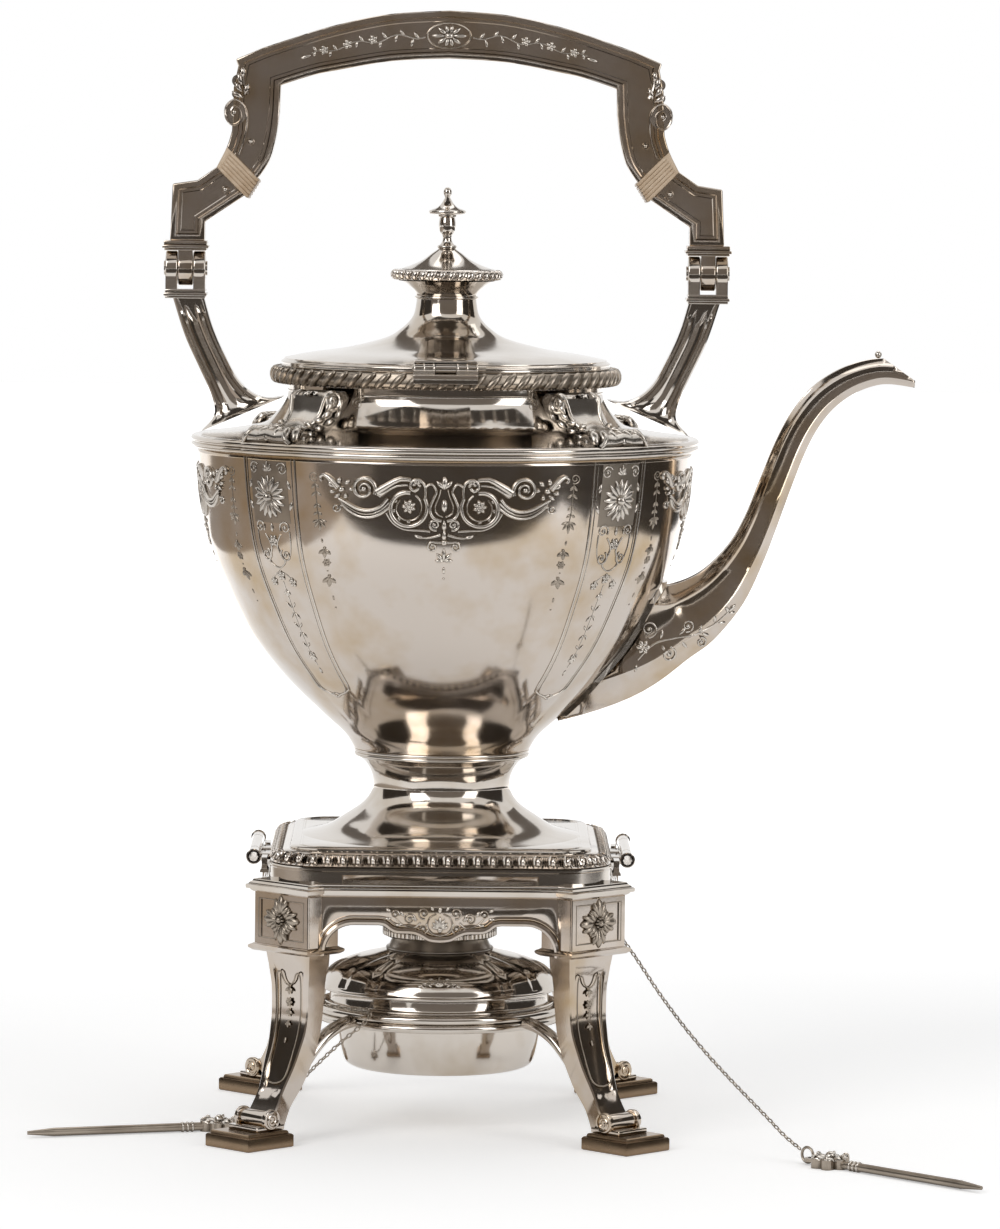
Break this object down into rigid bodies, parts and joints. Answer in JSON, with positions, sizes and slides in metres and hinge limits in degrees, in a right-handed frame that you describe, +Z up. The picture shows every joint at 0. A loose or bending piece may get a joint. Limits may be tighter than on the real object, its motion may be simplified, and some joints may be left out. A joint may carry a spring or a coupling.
{
  "type": "spirit kettle on stand",
  "caption": "Silver spirit kettle with a swing bail and hinged lid, tilting on a footed stand with a spirit lamp; both retaining pins lie drawn out on their chains.",
  "frame": {"origin": "on the table, under the middle of the outline without the chains and pins", "axes": "+X towards the spout, +Y to the back, +Z up; the lid's hinge is at the front"},
  "size_m": [0.3152, 0.2316, 0.3812],
  "materials": {
    "silver": "polished silver, lightly tarnished in the hollows",
    "dark_silver": "silver, duller and darker with wear",
    "worn_silver": "silver worn brownish under the feet",
    "bone": "ivory-coloured heat stops, satin",
    "cotton": "white cotton wick"
  },
  "bodies": {
    "stand": {"top_frame": "silver", "front_apron": "silver", "back_apron": "silver", "left_apron": "silver", "right_apron": "silver", "leg_front_left": "silver", "leg_front_right": "silver", "leg_back_left": "silver", "leg_back_right": "silver", "foot_pads": "worn_silver", "corner_rosettes": "silver", "lamp_ring": "silver", "lamp_brackets": "silver", "stand_tubes": "silver", "chain_eyes": "silver", "left_chain": "dark_silver", "right_chain": "dark_silver", "left_pin": "silver", "right_pin": "silver", "pin_rings": "silver"},
    "lamp": {"lamp_bowl": "silver", "lamp_cover": "silver", "lamp_neck": "dark_silver"},
    "burner": {"burner_cap": "silver", "wick_tube": "dark_silver", "wick": "cotton"},
    "kettle": {"foot_band": "silver", "foot_border": "silver", "base_plate": "silver", "foot_neck": "silver", "body_bowl": "silver", "body_rim": "silver", "pilasters": "silver", "body_shoulder": "silver", "gadroon_collar": "silver", "corner_consoles": "silver", "spout": "silver", "spout_collar": "silver", "kettle_tubes": "silver", "bail_arm_left": "silver", "bail_arm_right": "silver", "bail_pins": "dark_silver", "lid_hinge_seat": "silver", "lid_hinge_pin": "dark_silver"},
    "lid": {"lid_cover": "silver", "lid_bezel": "silver", "lid_flange": "silver", "finial": "silver", "lid_hinge_leaf": "silver"},
    "bail": {"bail_grip": "silver", "bail_elbow_left": "silver", "bail_elbow_right": "silver", "heat_stops": "bone", "bail_rivets": "silver", "bail_medallions": "silver"}
  },
  "joints": [
    {"name": "kettle_tilt", "type": "hinge", "parent": "stand", "child": "kettle", "pos_m": [0.03155, 0, 0.094], "axis": [0, 1, 0], "range_deg": [0, 50]},
    {"name": "lid_open", "type": "hinge", "parent": "kettle", "child": "lid", "pos_m": [-0.03195, -0.0583, 0.2615], "axis": [1, 0, 0], "range_deg": [0, 100]},
    {"name": "bail_swing", "type": "hinge", "parent": "kettle", "child": "bail", "pos_m": [-0.03195, 0, 0.2926], "axis": [-1, 0, 0], "range_deg": [-80, 80]},
    {"name": "lamp_lift", "type": "slide", "parent": "stand", "child": "lamp", "axis": [0, 0, 1], "range_m": [0, 0.022]},
    {"name": "burner_lift", "type": "slide", "parent": "lamp", "child": "burner", "axis": [0, 0, 1], "range_m": [0, 0.01]}
  ]
}
